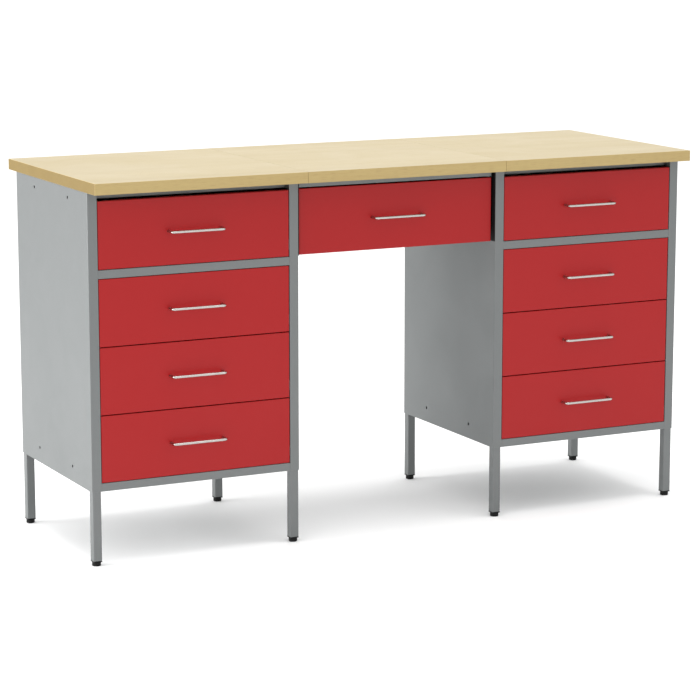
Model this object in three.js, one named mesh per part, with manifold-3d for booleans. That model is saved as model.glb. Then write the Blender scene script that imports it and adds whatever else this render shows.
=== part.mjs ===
// A steel workbench with nine drawers. Two sheet-steel pedestals carry a worktop of three boards.
// Each pedestal holds four drawers, and one more hangs in the bay between them, over the kneehole.
// Millimetres, +X along the bench, +Y towards its back, +Z up. The origin is on the floor, at the centre.
import * as THREE from "three";
import { mergeVertices } from "three/addons/utils/BufferGeometryUtils.js";
import Module from "manifold-3d";

const wasm = await Module();
wasm.setup();

// ---- Driving sizes ----------------------------------------------------------------------------

// Bench and worktop
const BENCH_HEIGHT = 847;
const WORKTOP_WIDTH = 1500;
const WORKTOP_DEPTH = 550;
const WORKTOP_THICKNESS = 25;
const BOARD_COUNT = 3;
const BOARD_SEAM = 0.6; // open joint between two boards

// Pedestals
const PEDESTAL_WIDTH = 498;
const PEDESTAL_DEPTH = 450;
const SIDE_INSET = 1; // from the worktop's end to the pedestal's outer face
const SHEET = 1; // folded sheet steel of the casings
const TUBE = 20; // square tube of the legs
const TUBE_WALL = 1.5;
const TUBE_CORNER = 2; // outside corner radius
const FLOOR_FLANGE = 12; // folded inwards along the bottom of a side panel
const TRAY_LIP = 8; // folded edge of the back panel
const PAN_LIP = 15; // upstand round the bottom pan
const SIDE_HOLE_RADIUS = 3.5;
const SIDE_HOLE_SPACING = 211; // front hole to back hole
const SIDE_HOLE_DROP = 22; // upper holes, below the pedestal's top
const SIDE_HOLE_RISE = 35; // lower holes, above the pedestal's bottom

// Front of a pedestal, from the top down
const TOP_RECESS = 18; // open strip over the top drawer
const DRAWER_PITCH = 150; // height of each drawer opening
const MIDDLE_RAIL_HEIGHT = 19; // between the top drawer and the three below it
const LOWER_DRAWERS = 3;
const BOTTOM_RAIL_HEIGHT = 18;
const RAIL_RETURN = 14; // fold of a rail, towards the back
const TOP_RAIL_SETBACK = 20; // the top rail stands this far behind the front
const TOP_RAIL_GAP = 2; // under the top rail

// Feet
const FOOT_HEIGHT = 12;
const FOOT_RADIUS = 9.8;
const FOOT_PAD = 9; // thickness of the round pad
const FOOT_NECK_RADIUS = 8.8;
const FOOT_CAP = 2.5; // square flange under the tube
const FOOT_PLUG = 18; // stub inside the tube

// Drawers
const FRONT_GAP = 1; // round each drawer front, on every side
const FRONT_SIDE_GAP = 1.5;
const FRONT_DEPTH = 15; // folded front, face to back edge
const BOX_BACK_ROOM = 34.7; // free depth behind the box, to the outside of the back
const BOX_BELOW = 12; // box floor over the bottom of its opening
const BOX_ABOVE = 28; // free space over the box
const BOX_RIM = 6; // folded out along the top of the box
const RUNNER_SPACE = 12.7; // between the leg tube and the side of the drawer box
const RUNNER_HEIGHT = 24;
const RUNNER_WIDTH = 10;
const RUNNER_SHEET = 1.2;
const RUNNER_WELD = 0.3; // how far a runner's web sinks into its tube
const RUNNER_RISE = 16; // runner's centre line over the floor of the box
const SLIDE_CLEARANCE = 2; // from the drawer's rail to the web of its runner

// Centre drawer
const CENTRE_SETBACK = 10; // its front stands this far behind the pedestals' fronts
const CENTRE_SIDE_GAP = 6; // between its front and each pedestal
const CENTRE_RUNNER_DROP = 8; // runner's centre line under the upper side holes
const CENTRE_BACK_ROOM = 49.7; // free depth behind its box, to the back of the pedestals
const CENTRE_RAIL_FLANGE = 20;
const CENTRE_BACK_GAP = 12; // between the drawer box and the back rail

// Handles
const HANDLE_LENGTH = 128; // over both ends
const HANDLE_RADIUS = 3;
const HANDLE_REACH = 22; // from the drawer front to the bar's centre line
const HANDLE_BEND = 6; // bend radius of the centre line
const SCREW_RADIUS = 2;
const SCREW_HOLE_RADIUS = 2.6;
const SCREW_HEAD_RADIUS = 4.5;
const SCREW_HEAD = 2.2;

const FIT = 0.3; // gap between pieces that touch
const ROUND_SIDES = 10; // facets of a rod or a hole
const PAD_SIDES = 16; // facets of a foot's pad
const CORNER_STEPS = 2; // facets of a rounded tube corner
const BEND_STEPS = 4; // facets of a bent rod
const FLATNESS = 0.005; // faces closer to one plane than this are one face

// ---- Worked out from them ----------------------------------------------------------------------

const UNDERSIDE = BENCH_HEIGHT - WORKTOP_THICKNESS;
const PEDESTAL_TOP = UNDERSIDE - FIT;
const TOP_OPENING_TOP = UNDERSIDE - TOP_RECESS;
const TOP_OPENING_BOTTOM = TOP_OPENING_TOP - DRAWER_PITCH;
const LOWER_STACK_TOP = TOP_OPENING_BOTTOM - MIDDLE_RAIL_HEIGHT;
const LOWER_STACK_BOTTOM = LOWER_STACK_TOP - LOWER_DRAWERS * DRAWER_PITCH;
const PEDESTAL_BOTTOM = LOWER_STACK_BOTTOM - BOTTOM_RAIL_HEIGHT;

const FRONT = -PEDESTAL_DEPTH / 2;
const BACK = PEDESTAL_DEPTH / 2;
const OUTER_X = WORKTOP_WIDTH / 2 - SIDE_INSET;
const INNER_X = OUTER_X - PEDESTAL_WIDTH;

const TUBE_OUT = SHEET + FIT; // from a side panel's outer face to the tube
const TUBE_IN = TUBE_OUT + TUBE;
const POST_WIDTH = TUBE + 2 * SHEET; // front flange of a side panel
const OPENING_OUT = POST_WIDTH + FIT; // where rails between the posts begin
const BOX_OUT = TUBE_IN + RUNNER_SPACE; // side of a drawer box
const BOX_HEIGHT = DRAWER_PITCH - BOX_BELOW - BOX_ABOVE;
const BOX_FRONT = FRONT + FRONT_DEPTH + FIT;
const BOX_BACK = BACK - BOX_BACK_ROOM;
const TOP_RAIL_BOTTOM = TOP_OPENING_TOP + TOP_RAIL_GAP;

const HOLE_TOP_Z = UNDERSIDE - SIDE_HOLE_DROP;
const HOLE_BOTTOM_Z = PEDESTAL_BOTTOM + SIDE_HOLE_RISE;
const CENTRE_RUNNER_Z = HOLE_TOP_Z - CENTRE_RUNNER_DROP;
const CENTRE_FRONT_HALF = INNER_X - CENTRE_SIDE_GAP;
const CENTRE_BOX_HALF = INNER_X - FIT - RUNNER_SPACE;
const CENTRE_BOX_FRONT = BOX_FRONT + CENTRE_SETBACK;
const CENTRE_BOX_BACK = BACK - CENTRE_BACK_ROOM;

// ---- Finishes ----------------------------------------------------------------------------------

const FINISHES = {
  maple_laminate: { color: 0xe7dab8, roughness: 0.55, metalness: 0 },
  grey_powder_coat: { color: 0xa9adac, roughness: 0.5, metalness: 0.1 },
  red_powder_coat: { color: 0xb13535, roughness: 0.45, metalness: 0.1 },
  galvanised_steel: { color: 0x9a9c9c, roughness: 0.4, metalness: 0.9 },
  bright_steel: { color: 0xd5d2cd, roughness: 0.25, metalness: 1 },
  black_plastic: { color: 0x161616, roughness: 0.6, metalness: 0 },
};

// ---- Solids ------------------------------------------------------------------------------------

function solid(geometry) {
  geometry.deleteAttribute("normal");
  geometry.deleteAttribute("uv");
  const merged = mergeVertices(geometry, 1e-4);
  return new wasm.Manifold(
    new wasm.Mesh({
      numProp: 3,
      vertProperties: new Float32Array(merged.attributes.position.array),
      triVerts: new Uint32Array(merged.index.array),
    }),
  );
}

// A block between two values along each axis, given in either order.
function block([xa, xb], [ya, yb], [za, zb]) {
  const box = new THREE.BoxGeometry(Math.abs(xb - xa), Math.abs(yb - ya), Math.abs(zb - za));
  return solid(box.translate((xa + xb) / 2, (ya + yb) / 2, (za + zb) / 2));
}

// A round bar of the given radius between two points on a line along one axis ("x", "y" or "z").
function bar(axis, from, to, radius, at, sides = ROUND_SIDES) {
  const round = new THREE.CylinderGeometry(radius, radius, Math.abs(to - from), sides);
  const middle = (from + to) / 2;
  if (axis === "x") round.rotateZ(Math.PI / 2).translate(middle, at[0], at[1]);
  if (axis === "y") round.translate(at[0], middle, at[1]);
  if (axis === "z") round.rotateX(Math.PI / 2).translate(at[0], at[1], middle);
  return solid(round);
}

// Joined or cut faces that lie in one plane are made one again, so no sliver is left in them.
function clean(shape) {
  return shape.asOriginal().simplify(FLATNESS);
}

function join(solids) {
  return clean(solids.reduce((whole, piece) => whole.add(piece)));
}

function cut(whole, tools) {
  return clean(tools.reduce((rest, tool) => rest.subtract(tool), whole));
}

const bench = new THREE.Group();

function place(name, shape, finish) {
  const mesh = shape.getMesh();
  const geometry = new THREE.BufferGeometry();
  geometry.setAttribute("position", new THREE.BufferAttribute(mesh.vertProperties, 3));
  geometry.setIndex(new THREE.BufferAttribute(mesh.triVerts, 1));
  geometry.computeVertexNormals();
  const piece = new THREE.Mesh(geometry, new THREE.MeshStandardMaterial(FINISHES[finish]));
  piece.name = name;
  bench.add(piece);
}

// A side of a pedestal: where its outer face is, and which way is inwards. Distances u are
// measured inwards from that face, so both hands of a piece come from one description.
function sideAt(x, inward) {
  const range = ([ua, ub]) => [x + inward * ua, x + inward * ub];
  return { range, block: (u, y, z) => block(range(u), y, z) };
}

// ---- Worktop -----------------------------------------------------------------------------------

function worktopBoard(index) {
  const width = WORKTOP_WIDTH / BOARD_COUNT;
  const left = -WORKTOP_WIDTH / 2 + index * width;
  const seamLeft = index > 0 ? BOARD_SEAM / 2 : 0;
  const seamRight = index < BOARD_COUNT - 1 ? BOARD_SEAM / 2 : 0;
  return block(
    [left + seamLeft, left + width - seamRight],
    [-WORKTOP_DEPTH / 2, WORKTOP_DEPTH / 2],
    [UNDERSIDE, BENCH_HEIGHT],
  );
}

// ---- Pedestal ----------------------------------------------------------------------------------

// One folded sheet: the side itself, the front post, the back post and the top and bottom flanges.
function sidePanel(side) {
  const height = [PEDESTAL_BOTTOM, PEDESTAL_TOP];
  const depth = [FRONT, BACK];
  const betweenLegs = [FRONT + TUBE_IN + SHEET, BACK - TUBE_IN - SHEET];
  const panel = join([
    side.block([0, SHEET], depth, height),
    side.block([0, POST_WIDTH], [FRONT, FRONT + SHEET], height),
    side.block([0, POST_WIDTH], [BACK - SHEET, BACK], height),
    side.block([0, POST_WIDTH], depth, [PEDESTAL_TOP - SHEET, PEDESTAL_TOP]),
    side.block([0, FLOOR_FLANGE], betweenLegs, [PEDESTAL_BOTTOM, PEDESTAL_BOTTOM + SHEET]),
  ]);
  const [from, to] = side.range([-SHEET, 2 * SHEET]);
  const holes = [];
  for (const y of [-SIDE_HOLE_SPACING / 2, SIDE_HOLE_SPACING / 2]) {
    for (const z of [HOLE_TOP_Z, HOLE_BOTTOM_Z]) {
      holes.push(bar("x", from, to, SIDE_HOLE_RADIUS, [y, z]));
    }
  }
  return cut(panel, holes);
}

// A square tube standing between two heights, with rounded outside corners.
function squareTube(side, [ya, yb], [za, zb]) {
  const [xa, xb] = side.range([TUBE_OUT, TUBE_IN]);
  const centreX = (xa + xb) / 2;
  const centreY = (ya + yb) / 2;
  const half = TUBE / 2;
  const straight = half - TUBE_CORNER;
  const outline = new THREE.Shape();
  outline.moveTo(half, -straight);
  outline.lineTo(half, straight);
  outline.absarc(straight, straight, TUBE_CORNER, 0, Math.PI / 2);
  outline.absarc(-straight, straight, TUBE_CORNER, Math.PI / 2, Math.PI);
  outline.absarc(-straight, -straight, TUBE_CORNER, Math.PI, Math.PI * 1.5);
  outline.absarc(straight, -straight, TUBE_CORNER, Math.PI * 1.5, Math.PI * 2);
  const tube = new THREE.ExtrudeGeometry(outline, {
    depth: zb - za,
    bevelEnabled: false,
    curveSegments: CORNER_STEPS,
  });
  const bore = half - TUBE_WALL;
  return cut(solid(tube.translate(centreX, centreY, za)), [
    block([centreX - bore, centreX + bore], [centreY - bore, centreY + bore], [za - SHEET, zb + SHEET]),
  ]);
}

const FRONT_LEG_Y = [FRONT + TUBE_OUT, FRONT + TUBE_IN];
const BACK_LEG_Y = [BACK - TUBE_IN, BACK - TUBE_OUT];

// A C-shaped channel, open towards the drawer, for one side of one drawer.
function runnerChannel(side, webFrom, webY, flangeY, centreZ) {
  const low = centreZ - RUNNER_HEIGHT / 2;
  const high = centreZ + RUNNER_HEIGHT / 2;
  const web = [webFrom, webFrom + RUNNER_SHEET];
  const flange = [webFrom, webFrom + RUNNER_WIDTH];
  return join([
    side.block(web, webY, [low, high]),
    side.block(flange, flangeY, [low, low + RUNNER_SHEET]),
    side.block(flange, flangeY, [high - RUNNER_SHEET, high]),
  ]);
}

// Two full-height legs of square tube, with a drawer runner welded across them for each drawer.
function legFrame(side, drawerBottoms) {
  const height = [FOOT_HEIGHT, PEDESTAL_TOP - SHEET - FIT];
  const parts = [squareTube(side, FRONT_LEG_Y, height), squareTube(side, BACK_LEG_Y, height)];
  const webY = [FRONT_LEG_Y[0] + TUBE_CORNER, BACK_LEG_Y[1] - TUBE_CORNER];
  const flangeY = [FRONT_LEG_Y[1], BACK_LEG_Y[0]];
  for (const bottom of drawerBottoms) {
    const centreZ = bottom + BOX_BELOW + RUNNER_RISE;
    parts.push(runnerChannel(side, TUBE_IN - RUNNER_WELD, webY, flangeY, centreZ));
  }
  return join(parts);
}

// Floor of a pedestal: a pan that stands on the side panels' bottom flanges, notched round the
// legs, with the bottom rail of the front folded from the same sheet.
function bottomPan(left, right) {
  const floor = PEDESTAL_BOTTOM + SHEET + FIT;
  const width = [left.range([TUBE_OUT, TUBE_OUT])[0], right.range([TUBE_OUT, TUBE_OUT])[0]];
  const railX = [left.range([OPENING_OUT, OPENING_OUT])[0], right.range([OPENING_OUT, OPENING_OUT])[0]];
  const rear = BACK - SHEET - TRAY_LIP - FIT;
  const betweenLegs = [FRONT_LEG_Y[1] + SHEET, BACK_LEG_Y[0] - SHEET];
  const railTop = PEDESTAL_BOTTOM + BOTTOM_RAIL_HEIGHT;
  const pan = join([
    block(railX, [FRONT, rear], [floor, floor + SHEET]),
    block(width, betweenLegs, [floor, floor + SHEET]),
    block(railX, [FRONT, FRONT + SHEET], [PEDESTAL_BOTTOM, railTop]),
    block(railX, [FRONT, FRONT + RAIL_RETURN], [railTop - SHEET, railTop]),
    block(railX, [rear - SHEET, rear], [floor, floor + PAN_LIP]),
  ]);
  const lips = [left, right].map((side) =>
    side.block([TUBE_OUT, TUBE_OUT + SHEET], betweenLegs, [floor, floor + PAN_LIP]),
  );
  return join([pan, ...lips]);
}

// A tray with its four edges folded forwards, let in between the two back posts.
function backPanel(left, right) {
  const xa = left.range([OPENING_OUT, OPENING_OUT])[0];
  const xb = right.range([OPENING_OUT, OPENING_OUT])[0];
  const lipY = [BACK - SHEET - TRAY_LIP, BACK];
  return join([
    block([xa, xb], [BACK - SHEET, BACK], [PEDESTAL_BOTTOM, PEDESTAL_TOP]),
    block([xa, xa + SHEET], lipY, [PEDESTAL_BOTTOM, PEDESTAL_TOP]),
    block([xb - SHEET, xb], lipY, [PEDESTAL_BOTTOM, PEDESTAL_TOP]),
    block([xa, xb], lipY, [PEDESTAL_BOTTOM, PEDESTAL_BOTTOM + SHEET]),
    block([xa, xb], lipY, [PEDESTAL_TOP - SHEET, PEDESTAL_TOP]),
  ]);
}

// A rail whose top and bottom edges are folded back by the given depths.
function foldedRail(x, front, [bottom, top], lowerReturn, upperReturn) {
  return join([
    block(x, [front, front + SHEET], [bottom, top]),
    block(x, [front, front + lowerReturn], [bottom, bottom + SHEET]),
    block(x, [front, front + upperReturn], [top - SHEET, top]),
  ]);
}

// A levelling foot: a plug in the tube, a square flange under it, and a round pad on a neck.
function foot(side, [ya, yb]) {
  const [xa, xb] = side.range([TUBE_OUT, TUBE_IN]);
  const centre = [(xa + xb) / 2, (ya + yb) / 2];
  const plug = TUBE / 2 - TUBE_WALL - FIT;
  const flange = TUBE / 2 - FIT;
  const square = (half, z) =>
    block([centre[0] - half, centre[0] + half], [centre[1] - half, centre[1] + half], z);
  const capTop = FOOT_HEIGHT - FIT;
  return join([
    square(plug, [capTop - FOOT_CAP / 2, capTop + FOOT_PLUG]),
    square(flange, [capTop - FOOT_CAP, capTop]),
    bar("z", FOOT_PAD / 2, FOOT_HEIGHT - FOOT_CAP / 2, FOOT_NECK_RADIUS, centre),
    pad(centre),
  ]);
}

// The round pad, with its lower and upper edges eased.
function pad([x, y]) {
  const ease = FOOT_PAD / 4;
  const profile = [
    new THREE.Vector2(0, 0),
    new THREE.Vector2(FOOT_RADIUS - ease, 0),
    new THREE.Vector2(FOOT_RADIUS, ease),
    new THREE.Vector2(FOOT_RADIUS, FOOT_PAD - ease),
    new THREE.Vector2(FOOT_RADIUS - ease, FOOT_PAD),
    new THREE.Vector2(0, FOOT_PAD),
  ];
  return solid(new THREE.LatheGeometry(profile, PAD_SIDES).rotateX(Math.PI / 2).translate(x, y, 0));
}

// ---- Drawers -----------------------------------------------------------------------------------

// The folded front: a face sheet with all four edges turned back, drilled for the handle screws.
function drawerFront([xa, xb], front, [bottom, top], handle) {
  const depth = [front, front + FRONT_DEPTH];
  const face = join([
    block([xa, xb], [front, front + SHEET], [bottom, top]),
    block([xa, xa + SHEET], depth, [bottom, top]),
    block([xb - SHEET, xb], depth, [bottom, top]),
    block([xa, xb], depth, [bottom, bottom + SHEET]),
    block([xa, xb], depth, [top - SHEET, top]),
  ]);
  const holes = handle.screwX.map((x) =>
    bar("y", front - SHEET, front + 2 * SHEET, SCREW_HOLE_RADIUS, [x, handle.z]),
  );
  return cut(face, holes);
}

// An open box of sheet steel, with a rim folded out along its top. A rail on each side runs in
// the channel there, at railZ, and reaches railTip from the bench's or the pedestal's middle.
function drawerBox(middle, half, [front, back], [bottom, top], railZ, railTip) {
  const x = [middle - half, middle + half];
  const parts = [
    block(x, [front, back], [bottom, bottom + SHEET]),
    block(x, [front, front + SHEET], [bottom, top]),
    block(x, [back - SHEET, back], [bottom, top]),
  ];
  for (const inward of [1, -1]) {
    const side = sideAt(middle - inward * half, inward);
    const reach = railTip - half;
    parts.push(side.block([0, SHEET], [front, back], [bottom, top]));
    parts.push(side.block([-BOX_RIM, SHEET], [front, back], [top - SHEET, top]));
    parts.push(side.block([-reach, SHEET], [front, back], [railZ - SHEET / 2, railZ + SHEET / 2]));
  }
  return join(parts);
}

// A rod of round section along a flat path of [x, y] points at one height, with closed ends.
function rod(points, radius, z) {
  const vertices = [];
  const index = [];
  const last = points.length - 1;
  points.forEach(([x, y], i) => {
    const before = points[Math.max(i - 1, 0)];
    const after = points[Math.min(i + 1, last)];
    const along = new THREE.Vector2(after[0] - before[0], after[1] - before[1]).normalize();
    for (let k = 0; k < ROUND_SIDES; k += 1) {
      const turn = (2 * Math.PI * k) / ROUND_SIDES;
      const out = radius * Math.cos(turn);
      vertices.push(x - along.y * out, y + along.x * out, z + radius * Math.sin(turn));
    }
  });
  const startCentre = vertices.length / 3;
  vertices.push(points[0][0], points[0][1], z);
  vertices.push(points[last][0], points[last][1], z);
  for (let k = 0; k < ROUND_SIDES; k += 1) {
    const next = (k + 1) % ROUND_SIDES;
    for (let i = 0; i < last; i += 1) {
      const a = i * ROUND_SIDES;
      const b = a + ROUND_SIDES;
      index.push(a + k, a + next, b + k, a + next, b + next, b + k);
    }
    index.push(startCentre, next, k);
    index.push(startCentre + 1, last * ROUND_SIDES + k, last * ROUND_SIDES + next);
  }
  const geometry = new THREE.BufferGeometry();
  geometry.setAttribute("position", new THREE.Float32BufferAttribute(vertices, 3));
  geometry.setIndex(index);
  return solid(geometry);
}

// Where a drawer's handle goes: its middle, its height, and its two screws.
function handleAt(middle, z) {
  const half = HANDLE_LENGTH / 2 - HANDLE_RADIUS;
  return { middle, z, half, screwX: [middle - half, middle + half] };
}

// A bow of bright rod, bent back at both ends, with a screw into each end through the front.
function bowHandle(handle, front) {
  const foot = front - FIT;
  const out = front - HANDLE_REACH;
  const path = [[handle.middle - handle.half, foot]];
  for (const end of [-1, 1]) {
    for (let i = 0; i <= BEND_STEPS; i += 1) {
      const turn = ((end < 0 ? i : BEND_STEPS - i) / BEND_STEPS) * (Math.PI / 2);
      const x = handle.middle + end * (handle.half - HANDLE_BEND + HANDLE_BEND * Math.cos(turn));
      path.push([x, out + HANDLE_BEND - HANDLE_BEND * Math.sin(turn)]);
    }
  }
  path.push([handle.middle + handle.half, foot]);
  const parts = [rod(path, HANDLE_RADIUS, handle.z)];
  const head = front + SHEET + FIT;
  for (const x of handle.screwX) {
    parts.push(bar("y", foot - SHEET, head + SCREW_HEAD / 2, SCREW_RADIUS, [x, handle.z]));
    parts.push(bar("y", head, head + SCREW_HEAD, SCREW_HEAD_RADIUS, [x, handle.z]));
  }
  return join(parts);
}

// The three pieces of one drawer: the box, the front that hides it, and the handle.
function placeDrawer(name, { frontX, frontY, opening, boxHalf, boxY, boxZ, railZ, railTip }) {
  const middle = (frontX[0] + frontX[1]) / 2;
  const frontZ = [opening[0] + FRONT_GAP, opening[1] - FRONT_GAP];
  const handle = handleAt(middle, (opening[0] + opening[1]) / 2);
  place(name + "_box", drawerBox(middle, boxHalf, boxY, boxZ, railZ, railTip), "grey_powder_coat");
  place(name + "_front", drawerFront(frontX, frontY, frontZ, handle), "red_powder_coat");
  place(name + "_handle", bowHandle(handle, frontY), "bright_steel");
}

// ---- The bench ---------------------------------------------------------------------------------

["left", "middle", "right"].forEach((name, index) =>
  place("worktop_" + name + "_board", worktopBoard(index), "maple_laminate"),
);

const drawerBottoms = [TOP_OPENING_BOTTOM];
for (let i = 1; i <= LOWER_DRAWERS; i += 1) {
  drawerBottoms.push(LOWER_STACK_TOP - i * DRAWER_PITCH);
}

function placePedestal(name, left, right, outer, inner) {
  const middle = (left.range([0, 0])[0] + right.range([0, 0])[0]) / 2;
  for (const [hand, side] of [["outer", outer], ["inner", inner]]) {
    place(name + "_" + hand + "_side_panel", sidePanel(side), "grey_powder_coat");
    place(name + "_" + hand + "_leg_frame", legFrame(side, drawerBottoms), "grey_powder_coat");
    place(name + "_front_" + hand + "_foot", foot(side, FRONT_LEG_Y), "black_plastic");
    place(name + "_back_" + hand + "_foot", foot(side, BACK_LEG_Y), "black_plastic");
  }
  const railX = [left.range([OPENING_OUT, 0])[0], right.range([OPENING_OUT, 0])[0]];
  const middleRail = foldedRail(
    railX, FRONT, [LOWER_STACK_TOP, TOP_OPENING_BOTTOM], RAIL_RETURN, RAIL_RETURN,
  );
  const topRail = foldedRail(
    railX, FRONT + TOP_RAIL_SETBACK, [TOP_RAIL_BOTTOM, PEDESTAL_TOP], SHEET, RAIL_RETURN,
  );
  place(name + "_bottom_pan", bottomPan(left, right), "grey_powder_coat");
  place(name + "_back_panel", backPanel(left, right), "grey_powder_coat");
  place(name + "_middle_rail", middleRail, "grey_powder_coat");
  place(name + "_top_rail", topRail, "grey_powder_coat");
  const openingHalf = PEDESTAL_WIDTH / 2 - POST_WIDTH;
  const frontHalf = openingHalf - FRONT_SIDE_GAP;
  const channelWeb = TUBE_IN - RUNNER_WELD + RUNNER_SHEET;
  drawerBottoms.forEach((bottom, index) => {
    const boxBottom = bottom + BOX_BELOW;
    placeDrawer(name + "_drawer_" + (index + 1), {
      frontX: [middle - frontHalf, middle + frontHalf],
      frontY: FRONT,
      opening: [bottom, bottom + DRAWER_PITCH],
      boxHalf: PEDESTAL_WIDTH / 2 - BOX_OUT,
      boxY: [BOX_FRONT, BOX_BACK],
      boxZ: [boxBottom, boxBottom + BOX_HEIGHT],
      railZ: boxBottom + RUNNER_RISE,
      railTip: PEDESTAL_WIDTH / 2 - channelWeb - SLIDE_CLEARANCE,
    });
  });
}

function placeCentreBay() {
  const half = INNER_X - FIT;
  const runnerY = [CENTRE_BOX_FRONT, CENTRE_BOX_BACK + CENTRE_BACK_GAP - FIT];
  for (const [name, inward] of [["left", 1], ["right", -1]]) {
    const side = sideAt(-inward * half, inward);
    const runner = runnerChannel(side, 0, runnerY, runnerY, CENTRE_RUNNER_Z);
    place("centre_" + name + "_runner", runner, "galvanised_steel");
  }
  const frontX = [-CENTRE_FRONT_HALF, CENTRE_FRONT_HALF];
  const frontY = FRONT + CENTRE_SETBACK;
  const rail = foldedRail(
    frontX, frontY, [TOP_RAIL_BOTTOM, PEDESTAL_TOP], RAIL_RETURN, CENTRE_RAIL_FLANGE,
  );
  place("centre_front_rail", rail, "grey_powder_coat");
  const backRail = foldedRail(
    [-half, half], CENTRE_BOX_BACK + CENTRE_BACK_GAP,
    [CENTRE_RUNNER_Z - RUNNER_HEIGHT / 2, PEDESTAL_TOP], SHEET, CENTRE_RAIL_FLANGE,
  );
  place("centre_back_rail", backRail, "grey_powder_coat");
  placeDrawer("centre_drawer", {
    frontX,
    frontY,
    opening: [TOP_OPENING_BOTTOM, TOP_OPENING_TOP],
    boxHalf: CENTRE_BOX_HALF,
    boxY: [CENTRE_BOX_FRONT, CENTRE_BOX_BACK],
    boxZ: [TOP_OPENING_BOTTOM + BOX_BELOW, CENTRE_RUNNER_Z + SHEET / 2],
    railZ: CENTRE_RUNNER_Z,
    railTip: half - RUNNER_SHEET - SLIDE_CLEARANCE,
  });
}

const leftOuter = sideAt(-OUTER_X, 1);
const leftInner = sideAt(-INNER_X, -1);
const rightInner = sideAt(INNER_X, 1);
const rightOuter = sideAt(OUTER_X, -1);
placePedestal("left", leftOuter, leftInner, leftOuter, leftInner);
placePedestal("right", rightInner, rightOuter, rightOuter, rightInner);
placeCentreBay();

export default bench;
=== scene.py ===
# %% [markdown]
# # A steel workbench with nine drawers
# Two pedestals of folded sheet steel stand on square-tube legs and carry a worktop of three boards.
# Four drawers run in each pedestal, and a ninth hangs over the kneehole between them.
# The frame loaded here already holds every part at its real size and place, and it knows which
# parts move together. The lesson never measures by eye: it asks for a part's box and builds the
# finished surface inside it. Lengths are in metres, +X runs along the bench and +Y to its back.

# %% Load the frame
import math

import bmesh
import bpy
from mathutils import Matrix, Vector


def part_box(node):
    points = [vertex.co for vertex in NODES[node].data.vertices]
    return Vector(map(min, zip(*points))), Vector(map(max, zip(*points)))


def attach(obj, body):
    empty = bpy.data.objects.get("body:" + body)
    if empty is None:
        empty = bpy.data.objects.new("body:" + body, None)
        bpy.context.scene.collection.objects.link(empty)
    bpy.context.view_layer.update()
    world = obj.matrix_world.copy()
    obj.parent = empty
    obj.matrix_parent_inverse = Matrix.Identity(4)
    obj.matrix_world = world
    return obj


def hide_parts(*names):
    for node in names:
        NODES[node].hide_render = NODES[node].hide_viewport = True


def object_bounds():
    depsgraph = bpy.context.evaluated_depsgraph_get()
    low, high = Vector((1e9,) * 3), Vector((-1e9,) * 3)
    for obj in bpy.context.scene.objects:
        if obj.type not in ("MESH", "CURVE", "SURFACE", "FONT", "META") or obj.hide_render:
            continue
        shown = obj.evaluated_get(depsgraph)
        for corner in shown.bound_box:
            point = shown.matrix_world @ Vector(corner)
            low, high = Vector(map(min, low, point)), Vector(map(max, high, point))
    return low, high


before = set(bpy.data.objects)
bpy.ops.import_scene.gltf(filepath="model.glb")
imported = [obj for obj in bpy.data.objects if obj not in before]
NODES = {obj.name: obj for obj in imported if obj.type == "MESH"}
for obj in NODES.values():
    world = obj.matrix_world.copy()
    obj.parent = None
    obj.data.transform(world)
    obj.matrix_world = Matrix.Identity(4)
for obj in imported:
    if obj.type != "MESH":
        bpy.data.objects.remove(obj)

MM = 0.001
CAD_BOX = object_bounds()

# %% [markdown]
# ## The camera
# Product views are taken from far away with a long lens, so that upright edges stay nearly
# parallel and the near corner isn't blown up. The camera stands to the left of the bench, 1.5 m
# high, and looks a little down on the worktop. A short lens close by would fill the frame as well,
# but it would stretch the near leg.

# %% Make the camera
CAMERA_PLACE = Vector((-2.709, -5.416, 1.503))
CAMERA_TURN = math.radians(-26.48)
CAMERA_DIP = math.radians(10.47)
LENS_MM = 134.2

camera_data = bpy.data.cameras.new("studio_camera")
camera_data.lens = LENS_MM
camera = bpy.data.objects.new("studio_camera", camera_data)
camera.location = CAMERA_PLACE
camera.rotation_euler = (math.pi / 2 - CAMERA_DIP, 0, CAMERA_TURN)
bpy.context.scene.collection.objects.link(camera)
bpy.context.scene.camera = camera
print("camera", round(CAMERA_PLACE.length, 2), "m from the bench's origin")

# %% [markdown]
# ## Light
# Painted steel shows its shape through the soft reflection of large lamps. Small lamps would leave
# hard white spots on the gloss, so one wide softbox stands on the left and makes the side panels
# the brightest grey, and a second hangs overhead for the worktop.

# %% Softboxes
def softbox(name, place, aim, size, watts):
    lamp = bpy.data.lights.new(name, "AREA")
    lamp.shape = "RECTANGLE"
    lamp.size, lamp.size_y = size
    lamp.energy = watts
    made = bpy.data.objects.new(name, lamp)
    made.location = place
    made.rotation_euler = (Vector(aim) - Vector(place)).to_track_quat("-Z", "Y").to_euler()
    bpy.context.scene.collection.objects.link(made)
    return made


left_light = softbox("left_softbox", (-4.4, 0.7, 0.9), (-0.7, 0, 0.6), (3.2, 2.6), 198)
top_light = softbox("overhead_softbox", (0, -0.2, 4.0), (0, 0, 0.8), (3.5, 2.5), 90)
print("softboxes:", left_light.data.energy, "and", top_light.data.energy, "W")

# %% [markdown]
# ### White fill
# With two lamps alone the drawers would be too dark to read. More lamps would each add a shadow,
# so the world itself gives an even white fill. The colour management is set to Standard, so that a
# colour comes out as it was mixed.

# %% World and colour management
WORLD_FILL = 1.25


def world_light(strength):
    world = bpy.data.worlds.new("studio")
    world.use_nodes = True
    backdrop = world.node_tree.nodes["Background"]
    backdrop.inputs["Color"].default_value = (1, 1, 1, 1)
    backdrop.inputs["Strength"].default_value = strength
    return world


bpy.context.scene.world = world_light(WORLD_FILL)
bpy.context.scene.view_settings.view_transform = "Standard"
print("white fill of strength", WORLD_FILL)

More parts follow.
